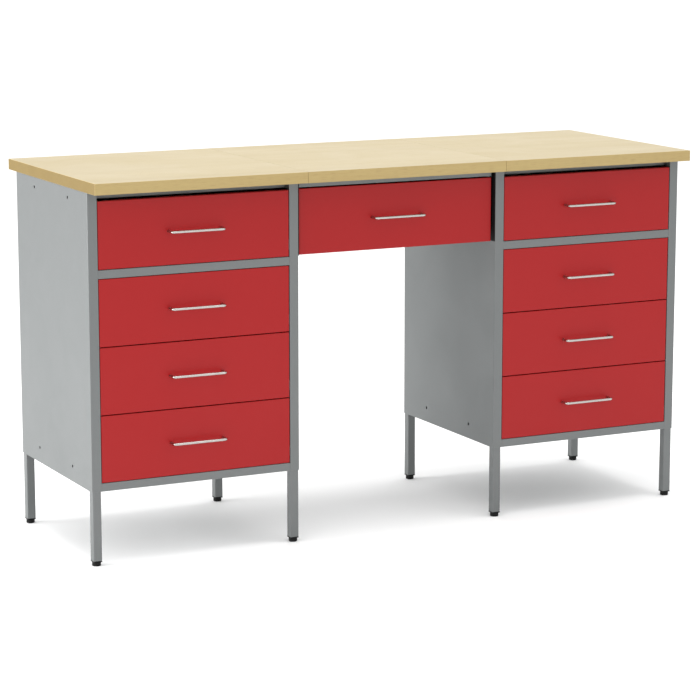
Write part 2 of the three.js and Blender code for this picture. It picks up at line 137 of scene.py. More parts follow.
# %% [markdown]
# ## Small helpers for shader nodes
# A material is a tree of nodes. Writing each node and link by hand buries the idea, so `node` adds
# one node with all its inputs, which are either numbers or other nodes' sockets. Sums, colour
# mixes and a point's place are needed all the time, and get a helper each.

# %% Node helpers
def feed(tree, made, inputs):
    """Sets a node's inputs. Each is keyed by its name or number, and is a value or a socket."""
    for key, value in inputs.items():
        if isinstance(value, bpy.types.NodeSocket):
            tree.links.new(value, made.inputs[key])
        else:
            made.inputs[key].default_value = value


def node(tree, kind, inputs=None, **settings):
    made = tree.nodes.new("ShaderNode" + kind)
    for name, value in settings.items():
        setattr(made, name, value)
    feed(tree, made, inputs or {})
    return made


def maths(tree, operation, a, b=0.0, clamp=False):
    return node(tree, "Math", {0: a, 1: b}, operation=operation, use_clamp=clamp).outputs[0]


def blend(tree, factor, first, second):
    """Mixes two colours, each a value or a socket."""
    mixed = node(tree, "Mix", {"Factor": factor, 6: first, 7: second}, data_type="RGBA")
    return mixed.outputs[2]


def own_place(tree):
    """A point's place on its own piece, which stays with the piece when it moves."""
    return node(tree, "TexCoord").outputs["Object"]


print("helpers: feed, node, maths, blend, own_place")

# %% [markdown]
# ### Node groups
# An effect that several finishes need is built once, as a group with named inputs and outputs, and
# each material places it with its own values. Copied nodes would drift apart when one copy is
# changed. The groups here only put out masks and values: the Principled BSDF always stays in the
# material itself.

# %% Group helpers
def new_group(name, inputs, outputs):
    """Starts a group. An input is a kind of socket and its value, an output only a kind."""
    group = bpy.data.node_groups.new(name, "ShaderNodeTree")
    for title, (kind, value) in inputs.items():
        made = group.interface.new_socket(title, in_out="INPUT", socket_type="NodeSocket" + kind)
        made.default_value = value
    for title, kind in outputs.items():
        group.interface.new_socket(title, in_out="OUTPUT", socket_type="NodeSocket" + kind)
    return group, group.nodes.new("NodeGroupInput"), group.nodes.new("NodeGroupOutput")


def use(tree, group, inputs):
    """Places a group in a material, with this material's own values."""
    made = tree.nodes.new("ShaderNodeGroup")
    made.node_tree = group
    feed(tree, made, inputs)
    return made.outputs


def full_range(tree, noise):
    """Noise keeps to its middle values, so these are spread over the whole range."""
    inputs = {"Value": noise, "From Min": 0.3, "From Max": 0.7}
    return node(tree, "MapRange", inputs).outputs["Result"]


print("helpers: new_group, use, full_range")

# %% [markdown]
# ## Effects that the finishes share
# *Orange peel* is the fine waviness that powder coat keeps after baking, with a grain of finer
# flecks in it. *Soft patches* are the slow changes of gloss where hands and cloths have been.
# Both are noise on the surface's own place. An image texture of either would need unwrapped
# surfaces, and would repeat.

# %% Orange peel and soft patches
def orange_peel_group():
    inputs = {"Vector": ("Vector", (0, 0, 0)), "Cells per metre": ("Float", 700.0)}
    group, given, out = new_group("orange_peel", inputs, {"Height": "Float", "Fleck": "Float"})
    place, cells = given.outputs["Vector"], given.outputs["Cells per metre"]
    wave = node(group, "TexNoise", {"Vector": place, "Scale": cells, "Detail": 1.0})
    fine = maths(group, "MULTIPLY", cells, 4.0)
    grit = node(group, "TexNoise", {"Vector": place, "Scale": fine, "Detail": 0.0})
    group.links.new(wave.outputs["Fac"], out.inputs["Height"])
    group.links.new(grit.outputs["Fac"], out.inputs["Fleck"])
    return group


def soft_patches_group():
    inputs = {"Vector": ("Vector", (0, 0, 0)), "Scale": ("Float", 6.0)}
    group, given, out = new_group("soft_patches", inputs, {"Value": "Float"})
    place, scale = given.outputs["Vector"], given.outputs["Scale"]
    cloud = node(group, "TexNoise", {"Vector": place, "Scale": scale, "Detail": 4.0, "Distortion": 0.6})
    group.links.new(full_range(group, cloud.outputs["Fac"]), out.inputs["Value"])
    return group


ORANGE_PEEL = orange_peel_group()
SOFT_PATCHES = soft_patches_group()
print("groups:", ORANGE_PEEL.name, SOFT_PATCHES.name)

# %% [markdown]
# ### Lines and edges
# *Drawn lines* are long thin streaks in one direction: the grain of maple, the draw marks on rod,
# the rolling lines of zinced strip. They are noise whose place is stretched across the lines.
# *Thin edges* finds the folds and arrises, where paint draws thin and gets rubbed. It could be
# painted on by hand, but the Bevel node finds them itself: it gives the normal of a rounded edge,
# and wherever that differs from the true normal is an edge.

# %% Drawn lines and thin edges
def drawn_lines_group():
    inputs = {"Vector": ("Vector", (0, 0, 0)), "Across": ("Vector", (1, 60, 60)), "Detail": ("Float", 4.0)}
    group, given, out = new_group("drawn_lines", inputs, {"Value": "Float"})
    parts = {0: given.outputs["Vector"], 1: given.outputs["Across"]}
    stretched = node(group, "VectorMath", parts, operation="MULTIPLY").outputs[0]
    detail = given.outputs["Detail"]
    line = node(group, "TexNoise", {"Vector": stretched, "Scale": 1.0, "Detail": detail})
    group.links.new(full_range(group, line.outputs["Fac"]), out.inputs["Value"])
    return group


def thin_edges_group():
    """Grows from nothing to full as the rounded normal turns 8 to 37 degrees away, and is broken up."""
    inputs = {"Vector": ("Vector", (0, 0, 0)), "Radius": ("Float", 0.0012), "Amount": ("Float", 1.0)}
    group, given, out = new_group("thin_edges", inputs, {"Mask": "Float"})
    rounded = node(group, "Bevel", {"Radius": given.outputs["Radius"]}, samples=4)
    true = node(group, "NewGeometry")
    both = {0: rounded.outputs[0], 1: true.outputs["Normal"]}
    alike = node(group, "VectorMath", both, operation="DOT_PRODUCT").outputs["Value"]
    edge = node(group, "MapRange", {"Value": alike, "From Min": 0.99, "From Max": 0.8})
    broken = node(group, "TexNoise", {"Vector": given.outputs["Vector"], "Scale": 180.0, "Detail": 3.0})
    rubbed = maths(group, "MULTIPLY", edge.outputs["Result"], broken.outputs["Fac"])
    mask = maths(group, "MULTIPLY", rubbed, given.outputs["Amount"], clamp=True)
    group.links.new(mask, out.inputs["Mask"])
    return group


DRAWN_LINES = drawn_lines_group()
THIN_EDGES = thin_edges_group()
print("groups:", DRAWN_LINES.name, THIN_EDGES.name)

# %% [markdown]
# ## Powder coat, grey and red
# Powder coat is a thick baked plastic skin. One flat colour would look like cut paper, and the real
# one is even in colour too, so its life comes from gloss: fine orange peel, slow patches, and folds
# where the coat is thin and catches light. One function makes both coats. It stands on three
# helpers that every finish uses: one starts a material, one spreads a value over a range of
# roughness, and one turns a value into bump.

# %% Material helpers
def new_material(name, **constants):
    material = bpy.data.materials.new(name)
    material.use_nodes = True
    surface = material.node_tree.nodes["Principled BSDF"]
    for title, value in constants.items():
        surface.inputs[title.replace("_", " ")].default_value = value
    return material, material.node_tree, surface


def roughen(tree, surface, value, lowest, highest):
    inputs = {"Value": value, "To Min": lowest, "To Max": highest}
    tree.links.new(node(tree, "MapRange", inputs).outputs["Result"], surface.inputs["Roughness"])


def bump(tree, surface, height, depth, strength):
    inputs = {"Height": height, "Distance": depth, "Strength": strength}
    tree.links.new(node(tree, "Bump", inputs).outputs[0], surface.inputs["Normal"])


print("helpers: new_material, roughen, bump")

# %% Powder coat
def powder_coat(name, colour, thin_colour, gloss, metallic, fleck, sheen):
    """Gloss is the lowest and highest roughness, and fleck how far the grain strays in tone."""
    material, tree, surface = new_material(name, Metallic=metallic, Specular_IOR_Level=sheen)
    place = own_place(tree)
    peel = use(tree, ORANGE_PEEL, {"Vector": place, "Cells per metre": 650.0})
    patches = use(tree, SOFT_PATCHES, {"Vector": place, "Scale": 7.0})["Value"]
    edges = use(tree, THIN_EDGES, {"Vector": place, "Radius": 1.4 * MM, "Amount": 1.2})["Mask"]
    dark = [c * (1 - fleck) for c in colour[:3]] + [1]
    light = [min(1, c * (1 + fleck)) for c in colour[:3]] + [1]
    grain = blend(tree, peel["Fleck"], dark, light)
    tree.links.new(blend(tree, edges, grain, thin_colour), surface.inputs["Base Color"])
    roughen(tree, surface, patches, *gloss)
    bump(tree, surface, peel["Height"], 0.06 * MM, 0.35)
    return material


print("powder coat takes a colour, a thin colour and a gloss")

# %% [markdown]
# ### Mix the two coats
# The grey is a silver tone with metal flake, so it is partly metallic: faces turned to the softbox
# come out much lighter than faces turned away. The red has no flake, and a finer grain.

# %% Grey and red
GREY = powder_coat(
    "grey_powder_coat",
    colour=(0.157, 0.166, 0.166, 1),
    thin_colour=(0.25, 0.26, 0.26, 1),
    gloss=(0.40, 0.48),
    metallic=0.55,
    fleck=0.10,
    sheen=0.4,
)
RED = powder_coat(
    "red_powder_coat",
    colour=(0.303, 0.002, 0.003, 1),
    thin_colour=(0.40, 0.015, 0.015, 1),
    gloss=(0.36, 0.46),
    metallic=0.0,
    fleck=0.04,
    sheen=0.3,
)
print("powder coats:", GREY.name, RED.name)

# %% [markdown]
# ## Maple laminate
# The boards are chipboard under a printed maple laminate, so the grain is quiet: long pale bands
# along the bench, finer lines inside them, and scattered short pores. An image texture of wood
# would need unwrapping, while drawn lines at three scales follow the board by themselves.
# The boards are cut from different sheets, so each takes its grain from another place: the board's
# number, worked out from its place along X, pushes the pattern sideways.

# %% Where a board takes its grain
BOARD_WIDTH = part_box("worktop_left_board")[1].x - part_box("worktop_left_board")[0].x
GRAIN_SHIFT = 3.7


def board_place(tree):
    """The point's place, shifted by a different amount on each board."""
    place = own_place(tree)
    along = node(tree, "SeparateXYZ", {0: place}).outputs["X"]
    number = maths(tree, "ROUND", maths(tree, "DIVIDE", along, BOARD_WIDTH))
    shift = node(tree, "CombineXYZ", {"Y": maths(tree, "MULTIPLY", number, GRAIN_SHIFT)}).outputs[0]
    return node(tree, "VectorMath", {0: place, 1: shift}, operation="ADD").outputs[0]


print("each board is", round(BOARD_WIDTH, 4), "m wide")

# %% Maple
def maple(name, pale, deep, pore, gloss):
    """Bands make two thirds of the figure and lines the rest, and pores are dashes over both."""
    material, tree, surface = new_material(name, Specular_IOR_Level=0.35)
    place = board_place(tree)
    bands = use(tree, DRAWN_LINES, {"Vector": place, "Across": (1.3, 22, 22), "Detail": 3.0})["Value"]
    lines = use(tree, DRAWN_LINES, {"Vector": place, "Across": (5, 240, 240), "Detail": 2.0})["Value"]
    dashes = use(tree, DRAWN_LINES, {"Vector": place, "Across": (45, 1400, 1400), "Detail": 0.0})["Value"]
    patches = use(tree, SOFT_PATCHES, {"Vector": place, "Scale": 5.0})["Value"]
    both = maths(tree, "ADD", maths(tree, "MULTIPLY", bands, 0.65), maths(tree, "MULTIPLY", lines, 0.35))
    wood = blend(tree, both, pale, deep)
    pores = node(tree, "MapRange", {"Value": dashes, "From Min": 0.72, "From Max": 0.95, "To Max": 0.35})
    colour = blend(tree, pores.outputs["Result"], wood, pore)
    tree.links.new(colour, surface.inputs["Base Color"])
    roughen(tree, surface, patches, *gloss)
    bump(tree, surface, lines, 0.05 * MM, 0.3)
    return material


MAPLE = maple(
    "maple_laminate",
    pale=(0.387, 0.322, 0.190, 1),
    deep=(0.352, 0.286, 0.158, 1),
    pore=(0.28, 0.21, 0.12, 1),
    gloss=(0.42, 0.52),
)
print("laminate:", MAPLE.name)

# %% [markdown]
# ### The edge bands
# The edges carry a plastic band printed in a deeper honey tone, so the same function makes it from
# other colours. The band on the left end faces the large softbox, so it is mixed darker still with
# painted shade, or it would come out paler than the front. The right end keeps the plain band.

# %% Edge bands
EDGE_BAND = maple(
    "maple_edge_band",
    pale=(0.396, 0.300, 0.125, 1),
    deep=(0.354, 0.254, 0.100, 1),
    pore=(0.25, 0.17, 0.07, 1),
    gloss=(0.38, 0.48),
)
# painted shade: the left end's band is mixed about half as bright as the front band, to offset the softbox
PAINTED_SHADE_END_BAND = maple(
    "maple_end_band_painted_shade",
    pale=(0.177, 0.117, 0.021, 1),
    deep=(0.159, 0.102, 0.015, 1),
    pore=(0.13, 0.075, 0.012, 1),
    gloss=(0.42, 0.52),
)
print("bands:", EDGE_BAND.name, PAINTED_SHADE_END_BAND.name)

# %% [markdown]
# ## Zinced strip
# Hot-dip zinc freezes into flat crystals. Plain noise would give clouds without borders, but the
# Voronoi texture draws crystals well: each cell has one tone. The gloss follows the tone and the
# lines that rolling leaves in the strip.

# %% Zinc
def zinced(name):
    material, tree, surface = new_material(name, Metallic=0.85)
    place = own_place(tree)
    crystals = node(tree, "TexVoronoi", {"Vector": place, "Scale": 140.0, "Randomness": 1.0})
    tone = node(tree, "SeparateColor", {0: crystals.outputs["Color"]}).outputs[0]
    colour = blend(tree, tone, (0.40, 0.41, 0.42, 1), (0.56, 0.57, 0.58, 1))
    tree.links.new(colour, surface.inputs["Base Color"])
    rolled = use(tree, DRAWN_LINES, {"Vector": place, "Across": (90, 3, 90), "Detail": 2.0})["Value"]
    mixed = maths(tree, "MULTIPLY", maths(tree, "ADD", tone, rolled), 0.5)
    roughen(tree, surface, mixed, 0.3, 0.5)
    bump(tree, surface, tone, 0.02 * MM, 0.3)
    return material


ZINC = zinced("galvanised_steel")
print("zinced strip:", ZINC.name)

# %% [markdown]
# ## Bright rod
# The handles, pins and screws are drawn steel, nickel plated. A perfect mirror would look like
# glass, so fine lines along the bar break up the reflection, and soft patches change its tone.

# %% Nickel
def bright_rod(name):
    material, tree, surface = new_material(name, Metallic=1.0)
    place = own_place(tree)
    drawn = use(tree, DRAWN_LINES, {"Vector": place, "Across": (30, 4000, 4000), "Detail": 2.0})["Value"]
    patches = use(tree, SOFT_PATCHES, {"Vector": place, "Scale": 60.0})["Value"]
    colour = blend(tree, patches, (0.43, 0.42, 0.40, 1), (0.48, 0.47, 0.45, 1))
    tree.links.new(colour, surface.inputs["Base Color"])
    roughen(tree, surface, drawn, 0.16, 0.34)
    bump(tree, surface, drawn, 0.01 * MM, 0.4)
    return material


NICKEL = bright_rod("bright_steel")
print("bright rod:", NICKEL.name)

# %% [markdown]
# ## Black plastic
# The feet and rollers are moulded in black plastic with the fine etched grain of the mould, and
# the black strips of painted shade beside the centre drawer share it. It is the same effect as orange
# peel, only with smaller cells, so the group serves again.

# %% Plastic
def black_plastic(name):
    material, tree, surface = new_material(name, Specular_IOR_Level=0.15)
    place = own_place(tree)
    grain = use(tree, ORANGE_PEEL, {"Vector": place, "Cells per metre": 2200.0})
    edges = use(tree, THIN_EDGES, {"Vector": place, "Radius": 0.8 * MM, "Amount": 1.0})["Mask"]
    body = blend(tree, grain["Fleck"], (0.004, 0.004, 0.004, 1), (0.009, 0.009, 0.009, 1))
    colour = blend(tree, edges, body, (0.02, 0.02, 0.02, 1))
    tree.links.new(colour, surface.inputs["Base Color"])
    roughen(tree, surface, grain["Height"], 0.42, 0.6)
    bump(tree, surface, grain["Height"], 0.04 * MM, 0.6)
    return material


PLASTIC = black_plastic("black_plastic")
print("plastic:", PLASTIC.name)

# %% [markdown]
# ## The floor
# The bench stands on a plain pale studio floor. A curved backdrop would do for one view, but a flat
# floor wide enough to reach the horizon serves every side. It isn't part of the bench.

# %% Floor
FLOOR_SIZE = 60.0


def studio_floor():
    made = bmesh.new()
    bmesh.ops.create_grid(made, x_segments=1, y_segments=1, size=FLOOR_SIZE / 2)
    mesh = bpy.data.meshes.new("studio_floor")
    made.to_mesh(mesh)
    made.free()
    floor = bpy.data.objects.new("studio_floor", mesh)
    material, tree, surface = new_material("pale_floor", Roughness=0.9)
    patches = use(tree, SOFT_PATCHES, {"Vector": own_place(tree), "Scale": 0.8})["Value"]
    colour = blend(tree, patches, (0.93, 0.93, 0.93, 1), (0.95, 0.95, 0.95, 1))
    tree.links.new(colour, surface.inputs["Base Color"])
    mesh.materials.append(material)
    bpy.context.scene.collection.objects.link(floor)
    return floor


print(studio_floor().name, FLOOR_SIZE, "m wide")

# %% [markdown]
# ## How folded sheet is built
# Sheet steel is bent, never cut from the solid, so every fold has a round outside and the edges of
# the sheet stay crisp. A box with all its edges bevelled would look cast. So each piece is first
# drawn as the flat outside faces of its sheet. Two shapes cover every folded part: a strip bent
# along a profile, and a tray with four edges turned up.

# %% Faces of a strip and of a tray
def strip(profile, axis, start, end, closed=False):
    """The faces of a sheet folded along a flat profile, and drawn out along one axis."""
    others = [i for i in range(3) if i != axis]

    def corner(point, along):
        place = Vector((along, along, along))
        place[others[0]], place[others[1]] = point
        return place

    following = profile[1:] + profile[:1] if closed else profile[1:]
    pairs = zip(profile, following)
    return [[corner(a, start), corner(b, start), corner(b, end), corner(a, end)] for a, b in pairs]


def tray(low, high, open_side):
    """The five faces of a tray that is open at one side of axis Y, with its floor first."""
    faces = []
    for axis in (1, 0, 2):
        others = [i for i in range(3) if i != axis]
        for end in (low, high):
            if axis == 1 and end is open_side:
                continue
            face = []
            for u, v in ((low, low), (high, low), (high, high), (low, high)):
                place = Vector(end)
                place[others[0]], place[others[1]] = u[others[0]], v[others[1]]
                face.append(place)
            faces.append(face)
    return faces


print("a tray has", len(tray(*CAD_BOX, CAD_BOX[0])), "faces")

# %% [markdown]
# ### Round the folds
# Faces that share corners are joined, turned outwards and bevelled where two of them meet. The
# bevel's width is the bend radius. Edges with only one face are the sheet's cut edges, and they
# aren't touched here. In a tray only the folds round its floor are bent: a real tray is notched at
# its corners, so there the turned-up edges only meet.

# %% Fold a sheet
SHEET = 1.0 * MM
BEND = 1.4 * MM
BEND_STEPS = 4


def add_sheet(made, faces, bend, only_first=False):
    """Joins faces at shared corners, turns them outwards and rounds the folds between them."""
    corners = {}
    built = []
    for face in faces:
        ring = []
        for place in face:
            key = tuple(round(value, 6) for value in place)
            if key not in corners:
                corners[key] = made.verts.new(place)
            ring.append(corners[key])
        built.append(made.faces.new(ring))
    middle = sum((vert.co for vert in corners.values()), Vector()) / len(corners)
    made.normal_update()
    for face in built:
        if face.normal.dot(face.calc_center_median() - middle) < 0:
            face.normal_flip()
    folded = built[:1] if only_first else built
    folds = dict.fromkeys(edge for face in folded for edge in face.edges if len(edge.link_faces) == 2)
    bmesh.ops.bevel(made, geom=list(folds), offset=bend, segments=BEND_STEPS, profile=0.5, affect="EDGES")


print("sheet", SHEET / MM, "mm, bend", BEND / MM, "mm")

# %% [markdown]
# ### From faces to a piece
# A piece is a mesh object with a finish. It rides on one of the frame's bodies, so that it moves
# with it, and it stands for the plain part that it replaces.

# %% Make a piece
def new_piece(name, made, material, body, stands_for=()):
    """Turns a bmesh into a named piece that rides on a body."""
    for face in made.faces:
        face.smooth = True
    mesh = bpy.data.meshes.new(name)
    made.to_mesh(mesh)
    made.free()
    mesh.materials.append(material)
    piece = bpy.data.objects.new(name, mesh)
    bpy.context.scene.collection.objects.link(piece)
    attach(piece, body)
    if stands_for:
        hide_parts(*stands_for)
    return piece


print("a piece has a name, a mesh, a finish and a body")

# %% [markdown]
# ### Thickness and edges
# Both skins of the sheet could be drawn by hand, but a Solidify modifier grows the thickness
# inwards by itself, so the outside stays exactly where the frame says. A very small Bevel takes the
# sharpness off the cut edges, and weighted normals keep the big faces flat beside the round folds.

# %% Thicken a sheet and ease its edges
CUT_EDGE = 0.15 * MM
SHARP = math.radians(40)


def thicken(piece, sheet=SHEET):
    wall = piece.modifiers.new("sheet_thickness", "SOLIDIFY")
    wall.thickness = sheet
    wall.offset = -1
    wall.use_even_offset = True


def ease_edges(piece, width=CUT_EDGE):
    edge = piece.modifiers.new("eased_edges", "BEVEL")
    edge.width = width
    edge.segments = 2
    edge.limit_method = "ANGLE"
    edge.angle_limit = SHARP
    piece.modifiers.new("even_shading", "WEIGHTED_NORMAL").keep_sharp = True


print("cut edges eased by", CUT_EDGE / MM, "mm")

# %% [markdown]
# ## The worktop
# Three boards lie side by side with a hairline joint. Each is a block with a plastic band round its
# outer edges. The left and right boards get the band's rounded arris, while the edges at a joint
# are cut nearly sharp, so the joint stays a fine line. The middle board lies between two joints,
# and all its edges are eased that finely. One long block with a line drawn on it would be quicker,
# but then the joint wouldn't catch any light. The arris belongs to the band, which is why the
# faces are sorted by their normal after the rounding.

# %% A block, and its edges at a joint
def add_block(made, low, high):
    size = Vector(high) - Vector(low)
    middle = (Vector(high) + Vector(low)) / 2
    bmesh.ops.create_cube(made, size=1.0,
                          matrix=Matrix.Translation(middle) @ Matrix.Diagonal((*size, 1)))


def at_joint(edge):
    """Whether an edge lies away from both ends of the worktop, as all the middle board's do."""
    ends = (CAD_BOX[0].x, CAD_BOX[1].x)
    return all(min(abs(vert.co.x - end) for end in ends) > MM for vert in edge.verts)


print("the worktop's ends are at", round(CAD_BOX[0].x, 3), "and", round(CAD_BOX[1].x, 3), "m")

# %% Boards
ARRIS = 1.3 * MM
JOINT_ARRIS = 0.2 * MM
JOINT_CLOSING = 0.1 * MM
FACING = 0.75  # a face whose normal goes this far along an axis faces that way


def board(node_name):
    low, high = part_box(node_name)
    low.x = max(low.x - JOINT_CLOSING, CAD_BOX[0].x)
    high.x = min(high.x + JOINT_CLOSING, CAD_BOX[1].x)
    made = bmesh.new()
    add_block(made, low, high)
    outer = [edge for edge in made.edges if not at_joint(edge)]
    bmesh.ops.bevel(made, geom=outer, offset=ARRIS, segments=3, profile=0.5, affect="EDGES")
    made.normal_update()
    for face in made.faces:
        face.material_index = 0 if abs(face.normal.z) > FACING else 1
        # painted shade: faces turned to -X, the left end, take the darker end band
        if face.normal.x < -FACING:
            face.material_index = 2
    name = node_name.replace("_board", "_top")
    piece = new_piece(name, made, MAPLE, "frame", [node_name])
    piece.data.materials.append(EDGE_BAND)
    piece.data.materials.append(PAINTED_SHADE_END_BAND)
    ease_edges(piece, JOINT_ARRIS)
    return piece


for place in ("left", "middle", "right"):
    print(board(f"worktop_{place}_board").name)

# %% [markdown]
# ## Holes
# A hole in thin sheet must show the sheet's thickness, so a dark spot painted on it won't do. The
# Boolean modifier takes a set of round plugs away from the sheet. The result is settled at once,
# so that the plugs can be thrown away.

# %% Cut with a Boolean
def settle(piece):
    """Applies the modifiers, so that a piece no longer depends on a helper object."""
    view = bpy.context.evaluated_depsgraph_get()
    piece.data = bpy.data.meshes.new_from_object(piece.evaluated_get(view))
    piece.modifiers.clear()


def cut_away(piece, cutter):
    """Takes a bmesh away from a piece with a Boolean modifier."""
    mesh = bpy.data.meshes.new("cutter")
    cutter.to_mesh(mesh)
    cutter.free()
    tool = bpy.data.objects.new("cutter", mesh)
    bpy.context.scene.collection.objects.link(tool)
    cut = piece.modifiers.new("cut_away", "BOOLEAN")
    cut.object = tool
    cut.solver = "EXACT"
    cut.use_self = True
    settle(piece)
    bpy.data.objects.remove(tool)


print("helpers: settle, cut_away")

# %% Drill along X
HOLE_RADIUS = 3.5 * MM
HOLE_SIDES = 32
DRILL_REACH = 10 * MM


def drill(piece, x, places):
    """Cuts round holes along X, at the given (y, z) places."""
    made = bmesh.new()
    for y, z in places:
        turn = Matrix.Translation((x, y, z)) @ Matrix.Rotation(math.pi / 2, 4, "Y")
        bmesh.ops.create_cone(made, cap_ends=True, segments=HOLE_SIDES, radius1=HOLE_RADIUS,
                              radius2=HOLE_RADIUS, depth=DRILL_REACH, matrix=turn)
    cut_away(piece, made)


print("holes are", 2 * HOLE_RADIUS / MM, "mm across")

# %% [markdown]
# ## Side panels
# Each pedestal has two sides, folded from one sheet: the front post and the back post are its own
# turned-in edges. Seen from above the section is a shallow C, so one strip drawn upwards gives
# panel and posts with their bends. Four small fixing holes go through it: on the inner sides the
# upper two carry the centre drawer's runners. A narrow flange along the bottom carries the floor.

# %% Which way a side faces
PEDESTALS = ("left", "right")
HANDS = ("outer", "inner")


def away_face(low, high, side, hand):
    """The X of a pedestal side's face away from its drawers, and the direction in from there."""
    on_left = (side, hand) in (("left", "outer"), ("right", "inner"))
    return (low.x, 1) if on_left else (high.x, -1)


# %% Fold the sides
HOLE_SPACING = 211 * MM
HOLE_DROP = 21.7 * MM
HOLE_RISE = 35 * MM
POST_WIDTH = 22 * MM
FLOOR_FLANGE = 12 * MM
FLANGE_UPSTAND = 8 * MM
LEG_ROOM = 24 * MM
CLEAR = 0.3 * MM


def side_panel(side, hand):
    node_name = f"{side}_{hand}_side_panel"
    low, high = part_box(node_name)
    face_x, inward = away_face(low, high, side, hand)
    post_x = face_x + inward * POST_WIDTH
    section = [(post_x, low.y), (face_x, low.y), (face_x, high.y), (post_x, high.y)]
    made = bmesh.new()
    add_sheet(made, strip(section, 2, low.z, high.z), BEND)
    lip_x = face_x + inward * CLEAR
    lip = [(lip_x, low.z + FLANGE_UPSTAND), (lip_x, low.z), (face_x + inward * FLOOR_FLANGE, low.z)]
    add_sheet(made, strip(lip, 1, low.y + LEG_ROOM, high.y - LEG_ROOM), BEND)
    piece = new_piece(f"{side}_{hand}_side", made, GREY, "frame", [node_name])
    thicken(piece)
    rows = (high.z - HOLE_DROP, low.z + HOLE_RISE)
    drill(piece, face_x, [(y, z) for y in (-HOLE_SPACING / 2, HOLE_SPACING / 2) for z in rows])
    ease_edges(piece)
    return piece


for side in PEDESTALS:
    for hand in HANDS:
        print(side_panel(side, hand).name)

# %% [markdown]
# ## Rails
# The rails between the posts are strips with their long edges folded back, which makes them stiff
# and gives them the soft upper and lower line that the light picks out. Flat bars would look thin
# from below. Their height and depth are read from the frame.

# %% Fold the rails
RAIL_RETURN = 14 * MM
NARROW_RETURN = 3 * MM
CENTRE_RETURN = 20 * MM


def rail(node_name, lower_return, upper_return):
    low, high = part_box(node_name)
    section = [
        (low.y + lower_return, low.z),
        (low.y, low.z),
        (low.y, high.z),
        (low.y + upper_return, high.z),
    ]
    made = bmesh.new()
    add_sheet(made, strip(section, 0, low.x, high.x), BEND)
    piece = new_piece(node_name + "_strip", made, GREY, "frame", [node_name])
    thicken(piece)
    ease_edges(piece)
    return piece


for side in PEDESTALS:
    print(rail(side + "_middle_rail", RAIL_RETURN, RAIL_RETURN).name)
    print(rail(side + "_top_rail", NARROW_RETURN, RAIL_RETURN).name)
print(rail("centre_front_rail", RAIL_RETURN, CENTRE_RETURN).name)
print(rail("centre_back_rail", NARROW_RETURN, CENTRE_RETURN).name)

# %% [markdown]
# ## Back panels and drawer fronts
# A back panel is a shallow tray let in between the back posts, open to the front. A drawer front is
# the same kind of tray, open to the back. The fold's radius gives the fine bright line round each
# front, and the dark line beside it is the real gap to the next piece. A line drawn in the material
# would stay in place when the drawer opens, so both are left to the shape.

# %% Fold the trays
DRAWERS_EACH = 4


def folded_tray(name, node_name, open_end, material, body):
    """A tray in a part's box. Its open end is 0 for the front and 1 for the back."""
    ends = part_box(node_name)
    made = bmesh.new()
    add_sheet(made, tray(*ends, ends[open_end]), BEND, only_first=True)
    piece = new_piece(name, made, material, body, [node_name])
    thicken(piece)
    ease_edges(piece)
    return piece


def pedestal_drawers(side):
    return [f"{side}_drawer_{number}" for number in range(1, DRAWERS_EACH + 1)]


DRAWERS = pedestal_drawers("left") + pedestal_drawers("right") + ["centre_drawer"]
for side in PEDESTALS:
    back = side + "_back_panel"
    print(folded_tray(back + "_sheet", back, 0, GREY, "frame").name)
for drawer in DRAWERS:
    print(folded_tray(drawer + "_face", drawer + "_front", 1, RED, drawer).name)

# %% [markdown]
# ## Legs
# The legs are welded square tube with rounded corners. They stand inside the posts and come out
# under the pedestal. A square bar would do for the eye, but a tube is what the feet plug into. It
# is a strip whose profile closes on itself, with a thicker wall than the sheet.

# %% Weld the legs
TUBE = 20 * MM
TUBE_WALL = 1.5 * MM
TUBE_CORNER = 2.0 * MM


def legs(side, hand):
    node_name = f"{side}_{hand}_leg_frame"
    low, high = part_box(node_name)
    face_x, inward = away_face(low, high, side, hand)
    near_x = min(face_x, face_x + inward * TUBE)
    made = bmesh.new()
    for near_y in (low.y, high.y - TUBE):
        section = [
            (near_x, near_y),
            (near_x + TUBE, near_y),
            (near_x + TUBE, near_y + TUBE),
            (near_x, near_y + TUBE),
        ]
        add_sheet(made, strip(section, 2, low.z, high.z, closed=True), TUBE_CORNER)
    piece = new_piece(f"{side}_{hand}_legs", made, GREY, "frame", [node_name])
    thicken(piece, TUBE_WALL)
    ease_edges(piece)
    return piece


for side in PEDESTALS:
    for hand in HANDS:
        print(legs(side, hand).name)

# %% [markdown]
# ## Runners
# The drawer runners are C-shaped strips of zinced steel between each pair of legs, open towards the
# drawer. A solid bar would leave no room for the rollers, so they are folded the same way as the
# rails. Only their web runs on over the legs, as flat tabs, because the drawer's front needs the
# room before them.

# %% How high a drawer's rails run
RUNNER_RISE = 16 * MM


def rail_height(drawer):
    """The height at which a drawer's rails run. The centre drawer's are the rim of its box."""
    low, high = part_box(drawer + "_box")
    return high.z - SHEET / 2 if drawer == "centre_drawer" else low.z + RUNNER_RISE


print("rails at", [round(rail_height(drawer), 3) for drawer in DRAWERS])

# %% Fold the runners
RUNNER_HEIGHT = 24 * MM
RUNNER_WIDTH = 10 * MM
RUNNER_SHEET = 1.2 * MM


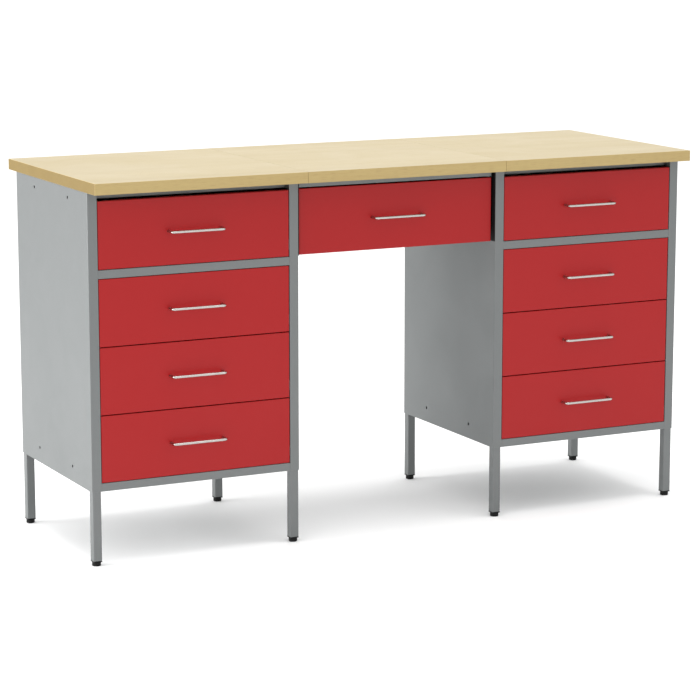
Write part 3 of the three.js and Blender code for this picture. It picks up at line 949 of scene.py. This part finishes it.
def pedestal_runners(side, hand):
    """Four channels between the legs, and the flat tabs that weld each of them to its legs."""
    low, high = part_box(f"{side}_{hand}_leg_frame")
    face_x, inward = away_face(low, high, side, hand)
    web_x = face_x + inward * (TUBE + CLEAR)
    open_x = web_x + inward * RUNNER_WIDTH
    tab_x = sorted((web_x, web_x + inward * RUNNER_SHEET))
    legs_y = (low.y + TUBE, high.y - TUBE)
    tabs_y = ((low.y + TUBE_CORNER, legs_y[0]), (legs_y[1], high.y - TUBE_CORNER))
    channels, tabs = bmesh.new(), bmesh.new()
    for drawer in pedestal_drawers(side):
        bottom = rail_height(drawer) - RUNNER_HEIGHT / 2
        top = rail_height(drawer) + RUNNER_HEIGHT / 2
        section = [(open_x, bottom), (web_x, bottom), (web_x, top), (open_x, top)]
        add_sheet(channels, strip(section, 1, *legs_y), BEND)
        for near, far in tabs_y:
            add_block(tabs, (tab_x[0], near, bottom), (tab_x[1], far, top))
    channel = new_piece(f"{side}_{hand}_runners", channels, ZINC, "frame")
    thicken(channel, RUNNER_SHEET)
    tab = new_piece(f"{side}_{hand}_runner_tabs", tabs, ZINC, "frame")
    for piece in (channel, tab):
        ease_edges(piece)
    return channel, tab


for side in PEDESTALS:
    for hand in HANDS:
        print([piece.name for piece in pedestal_runners(side, hand)])

# %% [markdown]
# ## Turning
# A round part is best turned, as on a lathe: its half outline is spun round an axis. A cylinder
# with a bevel would have the same radius at both rims, while an outline can have any curve. Where
# it touches the axis it is closed with a fan of triangles, so the part stays watertight.

# %% Turn an outline
TURNING_STEPS = 40
ON_AXIS = 1e-7


def arc(centre, radius, start, end, steps):
    """Points along an arc in a flat outline, angles in degrees."""
    turns = [math.radians(start + (end - start) * i / steps) for i in range(steps + 1)]
    return [(centre[0] + radius * math.cos(t), centre[1] + radius * math.sin(t)) for t in turns]


def turn_outline(made, outline, place, direction=Vector((0, 0, 1))):
    """Spins (radius, height) points round an axis through place."""
    stand = Matrix.Translation(place) @ direction.to_track_quat("Z", "Y").to_matrix().to_4x4()
    rings = []
    for radius, height in outline:
        if radius < ON_AXIS:
            rings.append([made.verts.new(stand @ Vector((0, 0, height)))])
            continue
        ring = []
        for step in range(TURNING_STEPS):
            angle = 2 * math.pi * step / TURNING_STEPS
            at = Vector((radius * math.cos(angle), radius * math.sin(angle), height))
            ring.append(made.verts.new(stand @ at))
        rings.append(ring)
    for lower, upper in zip(rings, rings[1:]):
        for step in range(TURNING_STEPS):
            following = (step + 1) % TURNING_STEPS
            corners = [lower[step % len(lower)], lower[following % len(lower)]]
            corners += [upper[following % len(upper)], upper[step % len(upper)]]
            made.faces.new(list(dict.fromkeys(corners)))


print("round parts have", TURNING_STEPS, "sides")

# %% [markdown]
# ## Feet
# A foot is a moulded plug with a square flange of the tube's own size and a round pad under it. The
# pad is turned, from an outline with its two rounded edges and the neck above them. The flange and
# the plug in the tube are plain blocks with eased edges.

# %% Mould the feet
PAD_RADIUS = 9.8 * MM
PAD_HEIGHT = 8.8 * MM
PAD_EASE = 2.0 * MM
NECK_RADIUS = 8.8 * MM
NECK_HEIGHT = 1 * MM
FOOT_HEIGHT = 12 * MM
FLANGE_HEIGHT = 2.5 * MM
MOULD_EASE = 0.4 * MM


def foot(node_name):
    low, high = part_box(node_name)
    middle = (low + high) / 2
    made = bmesh.new()
    top_ease = PAD_EASE / 4
    neck_top = PAD_HEIGHT + NECK_HEIGHT
    outline = [(0, 0)]
    outline += arc((PAD_RADIUS - PAD_EASE, PAD_EASE), PAD_EASE, -90, 0, 6)
    outline += arc((PAD_RADIUS - top_ease, PAD_HEIGHT - top_ease), top_ease, 0, 90, 3)
    outline += [(NECK_RADIUS, PAD_HEIGHT), (NECK_RADIUS, neck_top), (0, neck_top)]
    turn_outline(made, outline, Vector((middle.x, middle.y, low.z)))
    flange = (high.x - low.x) / 2
    flange_top = FOOT_HEIGHT - CLEAR
    plug = TUBE / 2 - TUBE_WALL - CLEAR
    for half, bottom, top in ((flange, flange_top - FLANGE_HEIGHT, flange_top), (plug, flange_top, high.z)):
        add_block(made, (middle.x - half, middle.y - half, bottom), (middle.x + half, middle.y + half, top))
    piece = new_piece(node_name + "_moulding", made, PLASTIC, "frame", [node_name])
    ease_edges(piece, MOULD_EASE)
    return piece


for side in PEDESTALS:
    for hand in HANDS:
        for end in ("front", "back"):
            print(foot(f"{side}_{end}_{hand}_foot").name)

# %% [markdown]
# ## Handles
# A handle is one piece of round rod bent back at both ends. It could be three cylinders, but their
# joints would show in the reflection. A curve object is made for this: it needs only the path, with
# a real arc at each bend, and a round bevel gives it its thickness. It is turned into a mesh at the
# end, like every other piece.

# %% The path of a handle's rod
ROD_BEND = 6 * MM
BEND_POINTS = 10


def rod_path(left, right, foot_y, bar_y, height):
    """The rod's centre line, as points with a weight of 1, which is what a poly spline takes."""
    inner = bar_y + ROD_BEND
    path = [(left, foot_y)]
    path += arc((left + ROD_BEND, inner), ROD_BEND, 180, 270, BEND_POINTS)
    path += arc((right - ROD_BEND, inner), ROD_BEND, 270, 360, BEND_POINTS)
    path.append((right, foot_y))
    return [(x, y, height, 1) for x, y in path]


print("bend radius", ROD_BEND / MM, "mm")

# %% Bend the handles
ROD = 3 * MM
ROD_REACH = 22 * MM


def handle(drawer):
    low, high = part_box(drawer + "_handle")
    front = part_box(drawer + "_front")[0].y
    curve = bpy.data.curves.new(drawer + "_bow", "CURVE")
    curve.dimensions = "3D"
    curve.bevel_depth = ROD
    curve.bevel_resolution = 7
    curve.use_fill_caps = True
    height = (low.z + high.z) / 2
    path = rod_path(low.x + ROD, high.x - ROD, front - CLEAR / 2, front - ROD_REACH, height)
    line = curve.splines.new("POLY")
    line.points.add(len(path) - 1)
    for point, place in zip(line.points, path):
        point.co = place
    shape = bpy.data.objects.new(drawer + "_bow", curve)
    made = bmesh.new()
    made.from_mesh(shape.to_mesh())
    shape.to_mesh_clear()
    bpy.data.objects.remove(shape)
    name = drawer + "_bow_handle"
    piece = new_piece(name, made, NICKEL, drawer, [drawer + "_handle"])
    piece.modifiers.new("even_shading", "WEIGHTED_NORMAL")
    return piece


for drawer in DRAWERS:
    print(handle(drawer).name)

# %% [markdown]
# ## Rollers
# A runner's roller is a small plastic wheel on a steel pin. Both are turned from an outline, like
# the feet. A bevel would be too fine to see on parts of this size, so their corners are only
# marked as sharp for the shading.

# %% Turn a roller and its pin
ROLLER_RADIUS = 4.9 * MM
ROLLER_WIDTH = 6 * MM
ROLLER_EASE = 0.7 * MM
PIN_RADIUS = 1.8 * MM
PIN_RIM = 0.4 * MM
PIN_DOME = 0.6 * MM


def keep_corners(piece):
    """Shades round surfaces smoothly and leaves corners sharp, on parts too small for a bevel."""
    piece.data.set_sharp_from_angle(angle=math.radians(35))


def pin(made, start, end):
    """A round pin with a domed head at its end."""
    length = (end - start).length
    outline = [(0, 0), (PIN_RADIUS, 0), (PIN_RADIUS, length), (1.5 * PIN_RADIUS, length)]
    outline += [(1.3 * PIN_RADIUS, length + PIN_RIM), (0, length + PIN_DOME)]
    turn_outline(made, outline, start, (end - start).normalized())


def roller(made, middle, hand):
    half, ease = ROLLER_WIDTH / 2, ROLLER_EASE
    outline = [(0, -half)]
    outline += arc((ROLLER_RADIUS - ease, ease - half), ease, -90, 0, 3)
    outline += arc((ROLLER_RADIUS - ease, half - ease), ease, 0, 90, 3)
    outline += [(0, half)]
    turn_outline(made, outline, middle, Vector((hand, 0, 0)))


print("rollers are", round(2 * ROLLER_RADIUS / MM, 1), "mm across")

# %% [markdown]
# ### Hang the drawers on them
# Each drawer rides on four rollers: two stand near the front of its runners and two on the back of
# the drawer itself, so the drawer can't drop when it is pulled out. The front ones belong to the
# frame and the back ones to the drawer, which is what makes them part company when the drawer
# opens.

# %% A set of rollers
ROLLER_INSET = 6.5 * MM  # a runner's web to the roller's middle


def rollers(name, body, places, from_web):
    """Rollers and their pins. A place is a roller's middle and the X direction of its web."""
    wheels, pins = bmesh.new(), bmesh.new()
    for middle, hand in places:
        roller(wheels, middle, hand)
        root = ROLLER_INSET - RUNNER_SHEET if from_web else -ROLLER_WIDTH / 2
        tip = -ROLLER_WIDTH / 2 if from_web else ROLLER_WIDTH / 2
        pin(pins, middle + Vector((hand * root, 0, 0)), middle + Vector((hand * tip, 0, 0)))
    keep_corners(new_piece(name + "_rollers", wheels, PLASTIC, body))
    keep_corners(new_piece(name + "_roller_pins", pins, NICKEL, body))
    return len(places)


print("a roller's middle is", ROLLER_INSET / MM, "mm from the web")

# %% Place the rollers
ROLLER_DROP = 5.6 * MM  # rail to roller axis
ROLLER_BEHIND_FRONT = 30 * MM
ROLLER_BEFORE_BACK = 6 * MM
RUNNER_PLAY = 3.2 * MM  # a drawer's rail to the outer face of the runner's web


def web_places(drawer):
    """The outer face of both runner webs of a drawer, with the direction to each."""
    if drawer == "centre_drawer":
        return [(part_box("centre_left_runner")[0].x, -1), (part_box("centre_right_runner")[1].x, 1)]
    low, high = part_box(drawer + "_box")
    return [(low.x - RUNNER_PLAY, -1), (high.x + RUNNER_PLAY, 1)]


def drawer_rollers(drawer):
    low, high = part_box(drawer + "_box")
    axis_z = rail_height(drawer) - ROLLER_DROP

    def places(y):
        return [(Vector((x - hand * ROLLER_INSET, y, axis_z)), hand) for x, hand in web_places(drawer)]

    front = rollers(drawer + "_front", "frame", places(low.y + ROLLER_BEHIND_FRONT), True)
    back = rollers(drawer + "_back", drawer, places(high.y - ROLLER_BEFORE_BACK), False)
    return front + back


print(sum(drawer_rollers(drawer) for drawer in DRAWERS), "rollers")

# %% [markdown]
# ## Screws
# Pan-head screws hold the back panels. Each head is turned, then two crossed blocks cut its cross
# recess with a Boolean. The recess could be a dark cross in the material, but only a real one
# catches light from the side.

# %% Clean up after a Boolean
SLIVER = 0.01 * MM


def join_close_points(piece):
    """Clears the slivers that a Boolean leaves on a small part."""
    made = bmesh.new()
    made.from_mesh(piece.data)
    bmesh.ops.remove_doubles(made, verts=made.verts, dist=SLIVER)
    bmesh.ops.dissolve_degenerate(made, dist=SLIVER, edges=made.edges)
    made.to_mesh(piece.data)
    made.free()


print("points closer than", SLIVER / MM, "mm are joined")

# %% Screws
SCREW_RADIUS = 4.2 * MM
SCREW_HEIGHT = 1.4 * MM
SCREW_RIM = 0.5 * MM
SCREW_SHOULDER = 1.1 * MM
SCREW_SEAT = 0.1 * MM
SCREW_INSET = 12 * MM
SLOT_WIDTH = 0.9 * MM
SLOT_DEPTH = 0.8 * MM
SLOT_BLOCK = 2 * MM


def back_screws(side):
    low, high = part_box(side + "_back_panel")
    heads, slots = bmesh.new(), bmesh.new()
    outline = [(0, -SCREW_SEAT), (SCREW_RADIUS, -SCREW_SEAT), (SCREW_RADIUS, SCREW_RIM)]
    outline += [(0.85 * SCREW_RADIUS, SCREW_SHOULDER), (0.5 * SCREW_RADIUS, SCREW_HEIGHT), (0, SCREW_HEIGHT)]
    floor = high.y + SCREW_HEIGHT - SLOT_DEPTH
    for x in (low.x + SCREW_INSET, high.x - SCREW_INSET):
        for z in (low.z + SCREW_INSET, high.z - SCREW_INSET):
            turn_outline(heads, outline, Vector((x, high.y, z)), Vector((0, 1, 0)))
            for wide, tall in ((SCREW_RADIUS, SLOT_WIDTH), (SLOT_WIDTH, SCREW_RADIUS)):
                add_block(slots, (x - wide / 2, floor, z - tall / 2),
                          (x + wide / 2, floor + SLOT_BLOCK, z + tall / 2))
    piece = new_piece(side + "_back_screws", heads, NICKEL, "frame")
    cut_away(piece, slots)
    join_close_points(piece)
    keep_corners(piece)
    return piece


for side in PEDESTALS:
    print(back_screws(side).name)

# %% [markdown]
# ## Gap strips of painted shade
# A black strip closes the gap between the centre drawer and each pedestal, as painted shade, so that
# no light shows beside the red front. The gap can't be left to shadow alone, because the pale floor
# would shine through it. Each strip is a flat block that stands on the pedestal's side, just behind
# the face of its post.

# %% Strips
STRIP_WIDTH = 1.0 * MM
STRIP_DEPTH = 24 * MM
STRIP_SETBACK = 0.5 * MM
STRIP_EASE = 0.2 * MM


def painted_shade_strip(side):
    low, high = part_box(f"{side}_inner_side_panel")
    face_x, inward = away_face(low, high, side, "inner")
    near = face_x - inward * CLEAR
    xs = sorted((near, near - inward * STRIP_WIDTH))
    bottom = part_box("centre_drawer_front")[0].z
    made = bmesh.new()
    add_block(made, (xs[0], low.y + STRIP_SETBACK, bottom), (xs[1], low.y + STRIP_DEPTH, high.z - CLEAR))
    # painted shade: a black block stands where the gap beside the centre drawer would be in shadow
    piece = new_piece(f"centre_{side}_painted_shade_strip", made, PLASTIC, "frame")
    ease_edges(piece, STRIP_EASE)
    return piece


for side in PEDESTALS:
    print(painted_shade_strip(side).name)

# %% [markdown]
# ## Parts that keep their own shape
# The drawer boxes, the pedestal floors and the centre runners are plain folded sheet that is mostly
# out of sight. Their own meshes are right, so they stay, and modifiers do the finishing: Weld joins
# the corners, a planar Decimate clears the triangle edges from flat faces, and Bevel eases the rest.

# %% Finish the kept parts
SAME_POINT = 0.005 * MM
SAME_PLANE = math.radians(1)
KEPT_EASE = 0.2 * MM


def finish_kept(name, material):
    part = NODES[name]
    part.modifiers.new("joined_corners", "WELD").merge_threshold = SAME_POINT
    flat = part.modifiers.new("flat_faces", "DECIMATE")
    flat.decimate_type = "DISSOLVE"
    flat.angle_limit = SAME_PLANE
    ease_edges(part, KEPT_EASE)
    part.data.materials.clear()
    part.data.materials.append(material)


for drawer in DRAWERS:
    finish_kept(drawer + "_box", GREY)
for side in PEDESTALS:
    finish_kept(side + "_bottom_pan", GREY)
    finish_kept(f"centre_{side}_runner", ZINC)
print("kept:", sum(not part.hide_render for part in NODES.values()), "parts")
